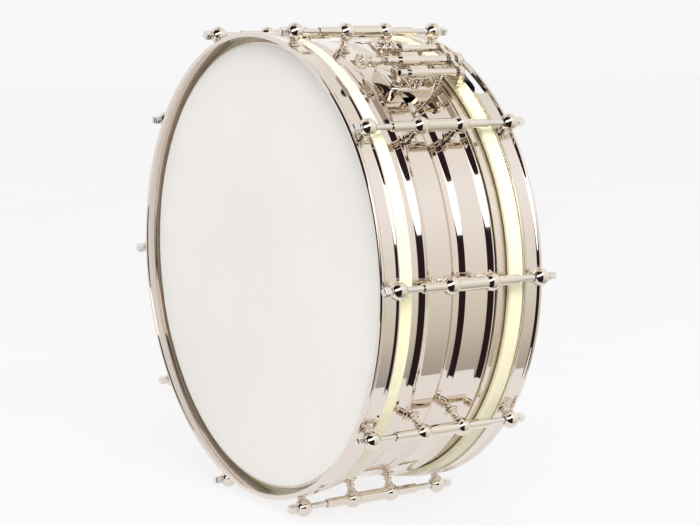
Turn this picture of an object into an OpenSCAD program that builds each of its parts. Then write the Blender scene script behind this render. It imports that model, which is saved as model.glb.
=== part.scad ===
// Snare drum, 14 inch by 5 inch, nickel-plated brass shell with ten tube lugs.
// It lies on its side on two of its lugs. The drum's axis runs along Y, the batter head faces -Y,
// +Z is up, and the origin is on the floor midway between the heads, under the axis.

/* [Shell] */
// Outer radius of the shell
shell_r = 177.8; // [177:0.1:179]
// Distance from one bearing edge to the other
shell_depth = 127; // [126:0.5:128]
// Thickness of the shell's sheet brass
shell_t = 1.2; // [0.9:0.1:1.5]
// Distance of each raised bead from the middle of the shell
bead_y = 31.2; // [30:0.1:32]
// Height of each raised bead
bead_h = 2.5; // [1.5:0.1:2.6]
// Depth of the groove around the middle of the shell
groove_depth = 2.8; // [1.5:0.1:3]
// Radius of the vent hole in the shell
vent_r = 5.8; // [5:0.1:6]

/* [Heads and hoops] */
// Thickness of the film of each head
film_t = 0.35; // [0.25:0.05:0.4]
// Width of the cream flesh hoop along the drum's axis
flesh_w = 12.2; // [11:0.1:12.5]
// Outer radius of the cream flesh hoop
flesh_r = 183.2; // [183:0.1:183.3]
// Outer radius of the flat band of each hoop
hoop_r = 183.5; // [183.4:0.1:183.8]
// Thickness of the band of each hoop
hoop_t = 2.3; // [2:0.1:2.4]
// Distance from the playing lip of one hoop to that of the other
lip_span = 147; // [146:0.5:148]

/* [Lugs and tension rods] */
// Number of lugs around the shell
lug_count = 10; // [10]
// Radius of the circle on which the tension rods lie
rod_circle_r = 193.4; // [193:0.1:194]
// Diameter of the balls on the lugs and on the hoops
ball_d = 14; // [13.5:0.1:14.5]
// Distance of each lug post from the middle of the drum
post_y = 18; // [17:0.1:18.5]
// Diameter of the tube between the two posts of a lug
centre_tube_d = 9.6; // [9:0.1:10]
// Diameter of the tube between a post and a tension rod
end_tube_d = 7.4; // [7.2:0.1:8]
// Diameter of a tension rod
rod_d = 4.8; // [4.6:0.1:5]
// Width across the flats of a tension rod's square head
rod_head_w = 5.6; // [5:0.1:6]

/* [Snares] */
// Number of coiled strands in the snare
strand_count = 20; // [12:2:20]
// Outer diameter of one coiled strand
strand_d = 1.6; // [1.4:0.1:1.7]
// Length of the coiled strands
strand_length = 296; // [280:1:300]
// Width of the strap that carries the snare at each end
strap_w = 17; // [14:1:17]

/* [Strainer and butt plate] */
// Angle around the drum from +X at which the strainer sits
strainer_a = 54; // [53:0.5:55]
// Distance of the strainer's tubes from the drum's axis
tube_r = 199; // [198:0.5:200]
// Distance between the strainer's neighbouring tubes
tube_pitch = 15.5; // [15:0.1:16]
// Diameter of the strainer's middle tube
mid_tube_d = 7.2; // [7:0.1:7.6]
// Diameter of the strainer's two outer tubes
side_tube_d = 5.6; // [5.4:0.1:6]
// Diameter of the knurled tension knob
knob_d = 11.6; // [11:0.1:12]

/* [Hidden] */
$fn = 64;

lug_step = 360 / lug_count;
axis_z = rod_circle_r * sin(2 * lug_step) + ball_d / 2;
butt_a = strainer_a + 180;
vent_a = 126;
vent_y = 16;

edge_y = shell_depth / 2;
lip_y = lip_span / 2;
flesh_y = 56.2;
flesh_in_r = shell_r + 0.6;
ear_y = 64;
ball_r = ball_d / 2;
seat_y = ear_y + 6.2;
tube_end_y = 43;
sleeve_end_y = 12;
rod_tip_y = 22;
rod_end_y = 77.2;

bead_half = 4.9;
crest_half = 0.6;
groove_half = 6.6;
floor_half = 2.5;
shell_in_r = shell_r - shell_t;

foot_t = 1.2;
foot_r = 6;
screw_r = 2.2;
screw_gap = 0.3;

knob_y = -41.5;
neck_end_y = -26.5;
tube_back_y = 34;
crossbar_y = 36;
crossbar_t = 3.5;
yoke_y = 42;
yoke_t = 5;
yoke_low_r = 186.8;
strap_t = 0.4;
pivot_y = -5;
spindle_r = 2;
guide_r = 1.6;
base_low_r = 183.2;
base_top_r = 185.4;
base_half_w = 21.5;
bar_h = 2.4;
saddle_half_w = 16.5;
mount_t = 11;
saddle_front_y = -17;
saddle_back_y = 24;
mount_front_y = -12.3;
mount_back_y = 18;
drop_gap = 0.3;
wire_y = edge_y + film_t + 0.4 + drop_gap + strand_d / 2;
butt_clamp_y = 36;

// ---------- placing ----------

// The profile's X is the radius and its Y is the drum's axis.
module turned() {
  translate([0, 0, axis_z]) rotate([-90, 0, 0]) rotate_extrude($fn = 180) children();
}

// Local X points outward at the angle a, Y stays the drum's axis, Z runs around the drum.
module at_angle(a) {
  translate([0, 0, axis_z]) rotate([0, -a, 0]) children();
}

module around() {
  for (i = [0 : lug_count - 1]) at_angle(i * lug_step) children();
}

// A cylinder along Y from y0 to y1, around the line at radius x and offset z.
module along_y(r, y0, y1, x = 0, z = 0) {
  translate([x, y0, z]) rotate([-90, 0, 0]) cylinder(r = r, h = y1 - y0);
}

// A cylinder along the local X, from radius x0 to x1.
module radial(r, x0, x1, y = 0, z = 0) {
  translate([x0, y, z]) rotate([0, 90, 0]) cylinder(r = r, h = x1 - x0);
}

// A cylinder along the local Z, centred.
module tangential(r, h, x, y, z) {
  translate([x, y, z]) cylinder(r = r, h = h, center = true);
}

module box(x0, x1, y0, y1, half_w, z = 0) {
  translate([x0, y0, z - half_w]) cube([x1 - x0, y1 - y0, 2 * half_w]);
}

// Mirrors the snare side's shape onto the batter side, where side is -1.
module on_side(side) {
  mirror([0, side < 0 ? 1 : 0, 0]) children();
}

// ---------- shell ----------

// Outer outline of the snare half, from the middle to the bearing edge, pushed in by t.
function half_outline(t) = [
  [shell_r - groove_depth - t, 0],
  [shell_r - groove_depth - t, floor_half],
  [shell_r - t, groove_half],
  [shell_r - t, bead_y - bead_half],
  [shell_r + bead_h * 0.85 - t, bead_y - crest_half - 0.6],
  [shell_r + bead_h - t, bead_y - crest_half * 0.5],
  [shell_r + bead_h - t, bead_y + crest_half * 0.5],
  [shell_r + bead_h * 0.85 - t, bead_y + crest_half + 0.6],
  [shell_r - t, bead_y + bead_half],
  [shell_r - t, edge_y - 2.2]
];

// The bearing edge rolls inward into a flange at 45 degrees.
edge_outer = [
  [shell_r - 0.4, edge_y - 0.9],
  [shell_r - 1.4, edge_y - 0.2],
  [shell_r - 2.4, edge_y],
  [shell_r - 3.4, edge_y - 0.3],
  [shell_r - 7.6, edge_y - 4.2]
];
edge_inner = [
  [shell_r - 8.4, edge_y - 5.1],
  [shell_r - 7.6, edge_y - 5.9],
  [shell_r - 3.2, edge_y - 1.8],
  [shell_r - 2.2, edge_y - 1.5],
  [shell_r - 1.5, edge_y - 1.9]
];

function reversed(points) = [for (i = [len(points) - 1 : -1 : 0]) points[i]];

snare_half = concat(half_outline(0), edge_outer, edge_inner, reversed(half_outline(shell_t)));
batter_half = [for (p = snare_half) [p[0], -p[1]]];

module shell() {
  color([0.80, 0.76, 0.73]) difference() {
    turned() union() {
      polygon(snare_half);
      polygon(reversed(batter_half));
    }
    around() for (s = [-1, 1]) radial(screw_r + screw_gap, 170, 190, s * post_y);
    at_angle(strainer_a) {
      mount_holes(170, 190, screw_r + screw_gap);
      box(160, 190, edge_y - 1, edge_y + 1, 32);
    }
    at_angle(butt_a) {
      for (s = [-1, 1]) radial(screw_r + screw_gap, 170, 190, mount_back_y, s * mount_t);
      box(160, 190, edge_y - 1, edge_y + 1, 32);
    }
    at_angle(vent_a) radial(vent_r, 170, 190, vent_y);
  }
}

module mount_holes(x0, x1, r) {
  for (y = [mount_front_y, mount_back_y], s = [-1, 1]) radial(r, x0, x1, y, s * mount_t);
}

module vent_grommet() {
  color([0.82, 0.80, 0.78]) at_angle(vent_a) translate([0, vent_y, 0]) rotate([0, 90, 0])
    rotate_extrude() polygon([
      [3.9, 175], [7.4, 175], [7.4, 175.9], [5.5, 176.1], [5.5, 178.1], [8.2, 178.1],
      [8.2, 178.7], [7.4, 179.3], [4.6, 179.5], [3.9, 179]
    ]);
}

// ---------- heads ----------

module head_film() {
  turned() polygon([
    [0, edge_y + 0.05], [shell_r - 2, edge_y + 0.05], [shell_r - 0.7, edge_y - 0.3],
    [shell_r + 0.15, edge_y - 1.6], [shell_r + 0.15, flesh_y + 0.05],
    [shell_r + 0.15 + film_t, flesh_y + 0.05], [shell_r + 0.15 + film_t, edge_y - 1.4],
    [shell_r - 0.4, edge_y + 0.05], [shell_r - 1.9, edge_y + 0.05 + film_t],
    [0, edge_y + 0.05 + film_t]
  ]);
}

module batter_head() {
  color([0.89, 0.88, 0.84]) on_side(-1) head_film();
}

module snare_head() {
  color([0.93, 0.93, 0.92]) on_side(1) head_film();
}

module flesh_hoop() {
  low = flesh_y - flesh_w;
  turned() polygon([
    [flesh_in_r, low + 0.5], [flesh_in_r + 0.5, low], [flesh_r - 0.8, low], [flesh_r, low + 0.8],
    [flesh_r, flesh_y - 0.5], [flesh_r - 0.5, flesh_y], [flesh_in_r, flesh_y]
  ]);
}

module batter_flesh_hoop() {
  color([0.97, 0.95, 0.80]) on_side(-1) flesh_hoop();
}

module snare_flesh_hoop() {
  color([0.97, 0.95, 0.80]) on_side(1) flesh_hoop();
}

// ---------- hoops ----------

// Flat band with a small flare at its foot and a rolled lip with a narrow flat face.
module hoop_band() {
  in_r = hoop_r - hoop_t;
  foot = flesh_y + 0.05;
  turned() polygon([
    [in_r, foot], [hoop_r + 0.9, foot], [hoop_r + 1.3, foot + 0.5], [hoop_r + 1.2, foot + 1.2],
    [hoop_r + 0.5, foot + 2.1], [hoop_r, foot + 3],
    [hoop_r, lip_y - 4.2], [hoop_r + 1, lip_y - 3.7], [hoop_r + 1.7, lip_y - 2.6],
    [hoop_r + 1.7, lip_y - 1.5], [hoop_r + 1.1, lip_y - 0.4], [hoop_r + 0.3, lip_y],
    [in_r + 0.9, lip_y], [in_r + 0.2, lip_y - 0.4], [in_r, lip_y - 1.2]
  ]);
}

module rivet_holes() {
  around() radial(2.1, 178, 190, ear_y);
}

module batter_hoop() {
  color([0.83, 0.80, 0.77]) on_side(-1) difference() {
    hoop_band();
    rivet_holes();
  }
}

// The snare side's hoop has a gate at each end of the snare, so that its strap can pass.
module snare_hoop() {
  color([0.83, 0.80, 0.77]) difference() {
    hoop_band();
    rivet_holes();
    for (a = [strainer_a, butt_a]) at_angle(a) box(170, 190, flesh_y - 1, lip_y - 4.4, 21);
  }
}

// A turned ball with its poles on the Y axis, faced off flat at the distance cap from its centre.
module ball(cap) {
  rotate([-90, 0, 0]) rotate_extrude() intersection() {
    circle(d = ball_d);
    translate([0, -ball_d]) square([ball_d, ball_d + cap]);
  }
}

// A ball on a short turned column, with a stud through the hoop's band.
module hoop_ear() {
  difference() {
    union() {
      translate([rod_circle_r, ear_y, 0]) ball(seat_y - ear_y);
      translate([0, ear_y, 0]) rotate([0, 90, 0]) rotate_extrude() polygon([
        [0, hoop_r - hoop_t + 0.1], [2, hoop_r - hoop_t + 0.1], [2, hoop_r + 0.02],
        [5, hoop_r + 0.02], [5.1, hoop_r + 0.9], [4.2, hoop_r + 1.5], [3, hoop_r + 2],
        [3.6, hoop_r + 2.8], [3, hoop_r + 3.8], [3, rod_circle_r - 4], [0, rod_circle_r - 4]
      ]);
    }
    along_y(rod_d / 2 + 0.3, ear_y - 10, ear_y + 10, rod_circle_r);
  }
}

module batter_hoop_ears() {
  color([0.85, 0.83, 0.80]) on_side(-1) around() hoop_ear();
}

module snare_hoop_ears() {
  color([0.85, 0.83, 0.80]) around() hoop_ear();
}

// ---------- lugs ----------

// Baluster post that carries a ball, with a bore through the ball for the lug's tube.
module lug_post() {
  low = shell_r + 0.05 + foot_t;
  difference() {
    union() {
      rotate([0, 90, 0]) rotate_extrude() polygon([
        [0, low], [4.4, low], [4.4, low + 0.8], [3.2, low + 1.4], [2.7, low + 2.1],
        [3.1, low + 2.9], [3.5, low + 3.6], [3.1, low + 4.3], [2.7, low + 5], [2.9, low + 6.4],
        [3.7, low + 7.4], [3.7, low + 8.2], [2.8, rod_circle_r - 5], [0, rod_circle_r - 5]
      ]);
      translate([rod_circle_r, 0, 0]) ball(ball_d);
    }
    radial(screw_r + screw_gap, low - 1, low + 6.5);
    along_y(end_tube_d / 2 + 0.02, -ball_d, ball_d, rod_circle_r);
  }
}

module lug_posts() {
  color([0.85, 0.83, 0.80]) around() for (s = [-1, 1]) translate([0, s * post_y, 0]) lug_post();
}

// One tube through both balls, with a wider sleeve between them and a bore for each tension rod.
module lug_tube() {
  difference() {
    union() {
      along_y(centre_tube_d / 2, -sleeve_end_y, sleeve_end_y, rod_circle_r);
      along_y(end_tube_d / 2, -tube_end_y, tube_end_y, rod_circle_r);
    }
    for (s = [-1, 1]) {
      translate([rod_circle_r, s * 33, 0]) rotate([90, 0, 0])
        cylinder(r = rod_d / 2 + 0.3, h = 24, center = true);
    }
  }
}

module lug_tubes() {
  color([0.85, 0.83, 0.80]) around() lug_tube();
}

module lug_feet() {
  color([0.85, 0.83, 0.80]) around() for (s = [-1, 1]) difference() {
    radial(foot_r, shell_r + 0.02, shell_r + 0.02 + foot_t, s * post_y);
    radial(screw_r + screw_gap, shell_r - 5, shell_r + 5, s * post_y);
  }
}

// Pan-head screw driven outward from inside the shell, its head resting on a washer.
module inside_screw(top) {
  head_r = shell_in_r - 1.2;
  difference() {
    union() {
      radial(screw_r, head_r - 1, top);
      radial(4.2, head_r - 2.4, head_r);
    }
    box(head_r - 3, head_r - 1.5, -0.5, 0.5, 5);
  }
}

module inside_washer() {
  difference() {
    radial(5.4, shell_in_r - 1.15, shell_in_r - 0.25);
    radial(screw_r + screw_gap, shell_in_r - 3, shell_in_r + 1);
  }
}

module lug_screws() {
  color([0.62, 0.61, 0.60]) around() for (s = [-1, 1])
    translate([0, s * post_y, 0]) inside_screw(shell_r + 7);
}

module lug_screw_washers() {
  color([0.62, 0.61, 0.60]) around() for (s = [-1, 1])
    translate([0, s * post_y, 0]) inside_washer();
}

// ---------- tension rods ----------

module tension_rod(i, side) {
  head_y = seat_y + 1.1;
  color([0.80, 0.79, 0.77]) on_side(side) at_angle(i * lug_step) {
    along_y(rod_d / 2, rod_tip_y, head_y + 1, rod_circle_r);
    along_y(3.5, seat_y + 0.1, head_y, rod_circle_r);
    translate([rod_circle_r, (head_y + rod_end_y) / 2, 0])
      cube([rod_head_w, rod_end_y - head_y, rod_head_w], center = true);
  }
}

// ---------- snares ----------

module snare_wires() {
  pitch = 2.1;
  color([0.72, 0.71, 0.70]) at_angle(strainer_a) for (i = [0 : strand_count - 1])
    radial(strand_d / 2, -strand_length / 2, strand_length / 2, wire_y,
      (i - (strand_count - 1) / 2) * pitch);
}

module snare_end_plates() {
  reach = strand_length / 2;
  color([0.75, 0.74, 0.72]) at_angle(strainer_a) for (s = [-1, 1]) {
    x0 = s > 0 ? reach - 12 : -reach - 2;
    box(x0, x0 + 14, wire_y + strand_d / 2 + 0.02, wire_y + strand_d / 2 + 1.02, 21.5);
  }
}

// Outline of a strap: straight from its clamp to free_y, then over the flesh hoop and through the
// hoop's gate to the plate at the end of the snare.
module strap_shape(clamp_r, clamp_y, free_y) {
  plate_top = wire_y + strand_d / 2 + 1.05;
  route = [
    [clamp_r, clamp_y], [clamp_r, free_y], [flesh_r + 2, 57.5], [flesh_r - 0.2, 61.5],
    [flesh_r - 4.5, 65.6], [flesh_r - 7.5, plate_top], [strand_length / 2 - 10, plate_top]
  ];
  lifted = [
    [clamp_r + strap_t, clamp_y], [clamp_r + strap_t, free_y + 0.1], [flesh_r + 2.3, 57.8],
    [flesh_r + 0.1, 61.8], [flesh_r - 4.2, 65.6 + strap_t], [flesh_r - 7.4, plate_top + strap_t],
    [strand_length / 2 - 10, plate_top + strap_t]
  ];
  translate([0, 0, -strap_w / 2]) linear_extrude(strap_w)
    polygon(concat(route, reversed(lifted)));
}

module strainer_strap() {
  color([0.10, 0.10, 0.11]) at_angle(strainer_a)
    strap_shape(yoke_low_r - strap_t - 0.05, yoke_y, yoke_y + 7);
}

module butt_strap() {
  color([0.10, 0.10, 0.11]) at_angle(butt_a)
    strap_shape(186.05, butt_clamp_y - 6, butt_clamp_y + 7);
}

// ---------- strainer ----------

module saddle_foot(y0, y1, top_r, half_w) {
  difference() {
    box(170, top_r, y0, y1, half_w);
    along_y(shell_r + 0.03, y0 - 1, y1 + 1, $fn = 180);
  }
}

module lever_cheeks() {
  for (s = [-1, 1]) {
    z = tube_pitch + s * 4.2;
    tangential(3.9, 2, tube_r, pivot_y, z);
    box(tube_r - 3.9, tube_r + 2, pivot_y, 1, 1, z);
  }
}

// Cast saddle under the tubes, whose underside follows the shell.
module strainer_plate() {
  color([0.83, 0.81, 0.79]) at_angle(strainer_a) difference() {
    saddle_foot(saddle_front_y, saddle_back_y, base_top_r, saddle_half_w);
    mount_holes(170, 184.6, screw_r + screw_gap);
  }
}

// Turned post with two collars, from a bar on the saddle up to a tube.
module strainer_post(low, y, z) {
  radial(2.6, low, tube_r, y, z);
  radial(3.6, low + bar_h + 1, low + bar_h + 2.4, y, z);
  radial(3.3, low + bar_h + 4.2, low + bar_h + 5.2, y, z);
}

// Front bar with three posts, rings around the tubes and the lever's two cheeks; rear bar with three posts.
module strainer_brackets() {
  low = base_top_r + 0.02;
  color([0.83, 0.81, 0.79]) at_angle(strainer_a) difference() {
    union() {
      box(low, low + bar_h, 0, 6, saddle_half_w);
      for (i = [-1 : 1]) strainer_post(low, 3, i * tube_pitch);
      along_y(6.2, -9, 6, tube_r);
      along_y(5.2, -9, 6, tube_r, -tube_pitch);
      along_y(5.2, 0, 6, tube_r, tube_pitch);
      box(low, low + bar_h, 18, 23.5, saddle_half_w);
      for (i = [-1 : 1]) strainer_post(low, 20.75, i * tube_pitch);
      lever_cheeks();
    }
    along_y(mid_tube_d / 2, -10, 40, tube_r);
    along_y(side_tube_d / 2, -10, 40, tube_r, -tube_pitch);
    along_y(side_tube_d / 2, -1, 40, tube_r, tube_pitch);
    tangential(1.3, 20, tube_r, pivot_y, tube_pitch);
  }
}

module strainer_tubes() {
  color([0.86, 0.84, 0.81]) at_angle(strainer_a) {
    strainer_tube(mid_tube_d, -21, spindle_r, 0);
    strainer_tube(side_tube_d, -17, guide_r, -tube_pitch);
    strainer_tube(side_tube_d, 0.5, guide_r, tube_pitch);
  }
}

module strainer_tube(d, y0, bore_r, z) {
  difference() {
    along_y(d / 2 - 0.02, y0, tube_back_y, tube_r, z);
    along_y(bore_r + 0.3, y0 - 1, tube_back_y + 1, tube_r, z);
  }
}

module strainer_mount_screws() {
  color([0.62, 0.61, 0.60]) at_angle(strainer_a)
    for (y = [mount_front_y, mount_back_y], s = [-1, 1]) translate([-1.1, y, s * mount_t]) {
      inside_screw(shell_r + 5.5);
      inside_washer();
    }
}

// Turned stem with two collars and an oval paddle, pointing at the batter side when the snares are on.
module lever() {
  color([0.86, 0.84, 0.81]) at_angle(strainer_a) translate([tube_r, pivot_y, tube_pitch]) {
    difference() {
      union() {
        cylinder(r = 3.8, h = 6, center = true);
        translate([-3.2, -5.2, -3]) cube([6.4, 5.2, 6]);
        lever_stem();
      }
      cylinder(r = 1.5, h = 20, center = true);
    }
    lever_paddle();
  }
}

// Outline of the stem by its radius and its distance from the pivot.
module lever_stem() {
  rotate([90, 0, 0]) rotate_extrude() polygon([
    [0, 4.6], [5.6, 4.6], [6.2, 5.2], [6.2, 6.2], [5.6, 6.8], [3, 7.2], [2.6, 8.8], [3, 10.2],
    [5.8, 10.6], [6.4, 11.2], [6.4, 12.4], [5.8, 13], [3, 13.4], [2.4, 15], [2, 17.5], [0, 17.5]
  ]);
}

module lever_paddle() {
  translate([3.6, -26.5, 4]) rotate([0, 0, -8]) rotate([0, 62, 0]) {
    hull() {
      for (s = [-1, 1]) translate([0, s * 1.9, 0]) cylinder(r = 5.4, h = 1.2, center = true, $fn = 32);
      for (s = [-1, 1]) translate([0, s * 1.9, 0]) cylinder(r = 4.6, h = 2, center = true, $fn = 32);
    }
  }
  hull() {
    translate([0, -16.4, 0]) sphere(r = 2.1, $fn = 24);
    translate([3.2, -21.5, 3.6]) sphere(r = 1.1, $fn = 24);
  }
}

module lever_pin() {
  color([0.70, 0.69, 0.68]) at_angle(strainer_a) {
    tangential(1.25, 11.2, tube_r, pivot_y, tube_pitch);
    for (s = [-1, 1]) tangential(2.1, 0.8, tube_r, pivot_y, tube_pitch + s * 5.65);
  }
}

// Bar behind the three tubes that pulls the snare.
module crossbar() {
  color([0.80, 0.78, 0.76]) at_angle(strainer_a) difference() {
    union() {
      for (s = [-1, 1])
        along_y(4.4, crossbar_y, crossbar_y + crossbar_t, tube_r, s * tube_pitch);
      along_y(5.4, crossbar_y, crossbar_y + crossbar_t, tube_r);
      box(tube_r - 3, tube_r + 3, crossbar_y, crossbar_y + crossbar_t, tube_pitch);
    }
    along_y(spindle_r + 0.1, crossbar_y - 1, crossbar_y + crossbar_t + 1, tube_r);
  }
}

// One rod in each outer tube, fixed to the crossbar.
module guide_rods() {
  color([0.80, 0.78, 0.76]) at_angle(strainer_a) for (s = [-1, 1])
    along_y(guide_r, 3, crossbar_y - 0.02, tube_r, s * tube_pitch);
}

// Knob with knurled edge and a stepped neck.
module tension_knob() {
  front = knob_y - 3.5;
  color([0.82, 0.80, 0.77]) at_angle(strainer_a) translate([tube_r, 0, 0]) difference() {
    rotate([-90, 0, 0]) rotate_extrude() polygon([
      [0, front], [2.4, front], [3, front + 0.5], [4.6, front + 0.5],
      [knob_d / 2 - 0.6, front + 0.2], [knob_d / 2, front + 0.8],
      [knob_d / 2, front + 5], [knob_d / 2 - 0.6, front + 5.6],
      [3.2, front + 6.2], [3, front + 8.6], [4.4, front + 9.2], [4.6, front + 10.6],
      [4, front + 11.4], [2.9, front + 12], [2.9, neck_end_y], [0, neck_end_y]
    ]);
    for (i = [0 : 23]) rotate([0, i * 15, 0])
      along_y(0.45, front - 1, front + 5.7, knob_d / 2 + 0.15);
    along_y(spindle_r, front + 2, neck_end_y + 1);
  }
}

module tension_spindle() {
  color([0.70, 0.69, 0.68]) at_angle(strainer_a) {
    along_y(spindle_r - 0.02, knob_y - 1, yoke_y + yoke_t + 4, tube_r);
    along_y(3.2, crossbar_y - 1.1, crossbar_y - 0.1, tube_r);
  }
}

module strap_yoke() {
  color([0.80, 0.78, 0.76]) at_angle(strainer_a) difference() {
    union() {
      box(yoke_low_r, 196, yoke_y, yoke_y + yoke_t, 14);
      along_y(6, yoke_y, yoke_y + yoke_t, tube_r);
      box(195, tube_r, yoke_y, yoke_y + yoke_t, 6);
    }
    along_y(spindle_r + 0.1, yoke_y - 1, yoke_y + yoke_t + 1, tube_r);
    for (s = [-1, 1]) radial(1.5, 180, 200, yoke_y + yoke_t / 2, s * 10);
  }
}

module yoke_clamp_plate() {
  color([0.80, 0.78, 0.76]) at_angle(strainer_a) difference() {
    box(184.5, yoke_low_r - strap_t - 0.1, yoke_y, yoke_y + yoke_t, 14);
    for (s = [-1, 1]) radial(1.5, 180, 200, yoke_y + yoke_t / 2, s * 10);
  }
}

module yoke_clamp_screws() {
  color([0.62, 0.61, 0.60]) at_angle(strainer_a) for (s = [-1, 1])
    translate([0, yoke_y + yoke_t / 2, s * 10]) {
      radial(1.3, 184.8, 197);
      difference() {
        radial(2.4, 196.05, 198);
        box(197.2, 199, -0.35, 0.35, 3);
      }
    }
}

// ---------- butt plate ----------

module butt_plate() {
  color([0.83, 0.81, 0.79]) at_angle(butt_a) difference() {
    union() {
      saddle_foot(10, 24, base_low_r + 0.1, base_half_w - 1.5);
      box(base_low_r, base_top_r + 0.6, 10, butt_clamp_y + 6, base_half_w - 1.5);
    }
    for (s = [-1, 1]) {
      radial(screw_r + screw_gap, 170, 184.6, mount_back_y, s * mount_t);
      radial(1.7, 180, 190, butt_clamp_y, s * 15);
    }
  }
}

module butt_clamp_plate() {
  color([0.83, 0.81, 0.79]) at_angle(butt_a) difference() {
    box(186.5, 188.6, butt_clamp_y - 6, butt_clamp_y + 6, base_half_w - 1.5);
    for (s = [-1, 1]) radial(1.7, 180, 190, butt_clamp_y, s * 15);
  }
}

module butt_clamp_screws() {
  color([0.62, 0.61, 0.60]) at_angle(butt_a) for (s = [-1, 1])
    translate([0, butt_clamp_y, s * 15]) {
      radial(1.5, 183.6, 190);
      difference() {
        radial(3, 188.65, 190.8);
        box(190, 192, -0.4, 0.4, 4);
      }
    }
}

module butt_mount_screws() {
  color([0.62, 0.61, 0.60]) at_angle(butt_a) for (s = [-1, 1])
    translate([-1.1, mount_back_y, s * mount_t]) {
      inside_screw(shell_r + 5.5);
      inside_washer();
    }
}

// ---------- nodes ----------

shell();
vent_grommet();
batter_head();
snare_head();
batter_flesh_hoop();
snare_flesh_hoop();
batter_hoop();
snare_hoop();
batter_hoop_ears();
snare_hoop_ears();
lug_tubes();
lug_posts();
lug_feet();
lug_screws();
lug_screw_washers();
tension_rod(0, -1);  // batter_rod_01
tension_rod(1, -1);  // batter_rod_02
tension_rod(2, -1);  // batter_rod_03
tension_rod(3, -1);  // batter_rod_04
tension_rod(4, -1);  // batter_rod_05
tension_rod(5, -1);  // batter_rod_06
tension_rod(6, -1);  // batter_rod_07
tension_rod(7, -1);  // batter_rod_08
tension_rod(8, -1);  // batter_rod_09
tension_rod(9, -1);  // batter_rod_10
tension_rod(0, 1);  // snare_rod_01
tension_rod(1, 1);  // snare_rod_02
tension_rod(2, 1);  // snare_rod_03
tension_rod(3, 1);  // snare_rod_04
tension_rod(4, 1);  // snare_rod_05
tension_rod(5, 1);  // snare_rod_06
tension_rod(6, 1);  // snare_rod_07
tension_rod(7, 1);  // snare_rod_08
tension_rod(8, 1);  // snare_rod_09
tension_rod(9, 1);  // snare_rod_10
snare_wires();
snare_end_plates();
strainer_strap();
butt_strap();
strainer_plate();
strainer_brackets();
strainer_tubes();
strainer_mount_screws();
lever();
lever_pin();
crossbar();
guide_rods();
tension_knob();
tension_spindle();
strap_yoke();
yoke_clamp_plate();
yoke_clamp_screws();
butt_plate();
butt_clamp_plate();
butt_clamp_screws();
butt_mount_screws();
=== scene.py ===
"""Looks of a nickel-plated snare drum that lies on its side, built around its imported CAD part."""

import math

import bmesh
import bpy
import numpy as np
from mathutils import Matrix, Vector


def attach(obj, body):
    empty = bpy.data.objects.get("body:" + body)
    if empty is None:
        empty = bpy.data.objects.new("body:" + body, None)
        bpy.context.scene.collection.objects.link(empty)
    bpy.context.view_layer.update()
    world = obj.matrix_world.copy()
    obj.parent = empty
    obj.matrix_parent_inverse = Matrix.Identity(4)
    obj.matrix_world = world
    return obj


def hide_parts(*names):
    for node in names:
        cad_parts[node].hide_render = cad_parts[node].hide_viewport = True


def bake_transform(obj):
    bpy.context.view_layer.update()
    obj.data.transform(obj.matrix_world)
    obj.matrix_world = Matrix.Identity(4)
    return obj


# ---------- sizes of the drum, in millimetres and degrees ----------

MM = 0.001

LUGS = 10
ROD_CIRCLE = 193.4
BALL_R = 7
# The two lugs that the drum lies on are this many degrees below the horizontal.
REST_LUG_A = 72
AXIS_Z = ROD_CIRCLE * math.sin(math.radians(REST_LUG_A)) + BALL_R

SHELL_R = 177.8
SHELL_T = 1.2
EDGE_Y = 63.5
BEAD_Y = 31.2
BEAD_HALF = 4.9
BEAD_APEX = 2.85
GROOVE_HALF = 6.6
FLOOR_HALF = 2.5
GROOVE_DEPTH = 2.8
VENT_A, VENT_Y, VENT_R = 126, 16, 5.5
VENT_CUT_LOW, VENT_CUT_HIGH = 165, 190

FILM_T = 0.35
FLESH_IN_R, FLESH_R = 178.4, 183.2
FLESH_Y, FLESH_W = 56.2, 12.2
HOOP_R, HOOP_IN_R = 183.5, 181.2
LIP_Y = 73.5
GATE_LOW_Y, GATE_HIGH_Y = FLESH_Y - 1, LIP_Y - 4.3
GATE_HALF, GATE_CORNER = 21, 3

ROD_R = 2.4
ROD_TIP_Y, ROD_END_Y = 22, 77.2
ROD_COLLAR_R = 3.5
ROD_HEAD_W = 5.6
ROD_TURN_MAX = 38
EAR_Y = 64
SEAT_Y = 70.2
BORE_R = 2.7
POST_Y = 18
FOOT_TOP = SHELL_R + 0.02 + 1.2
SLEEVE_R, SLEEVE_END = 4.8, 13.4
TUBE_R, TUBE_END = 3.7, 43
BORE_END = 21

STRAINER_A = 54
BUTT_A = 234
STR_R = 199
STR_PITCH = 15.5
PIVOT_Y = -5
KNOB_Y = -45
KNURLS, KNURL_DEPTH = 24, 0.42
STRAND_N, STRAND_PITCH, STRAND_HALF = 20, 2.1, 148
WIRE_Y = 65.35
STRAP_HALF_W = 8.5
STRAP_T = 0.4
STRAP_BEND_R = 1.6
STRAP_STEPS, STRAP_ROWS = 60, 7

# ---------- floor, light and camera, in metres, with the lens in millimetres ----------

FLOOR_GLOW = 0.815
FLOOR_HALF_M = 30
FLOOR_EDGE_X = 0.238
CARD_R = 2.6
PATCH_R = CARD_R - 0.2
CARD_POINTS = 33
BAND_STRENGTH = 1.2
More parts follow.
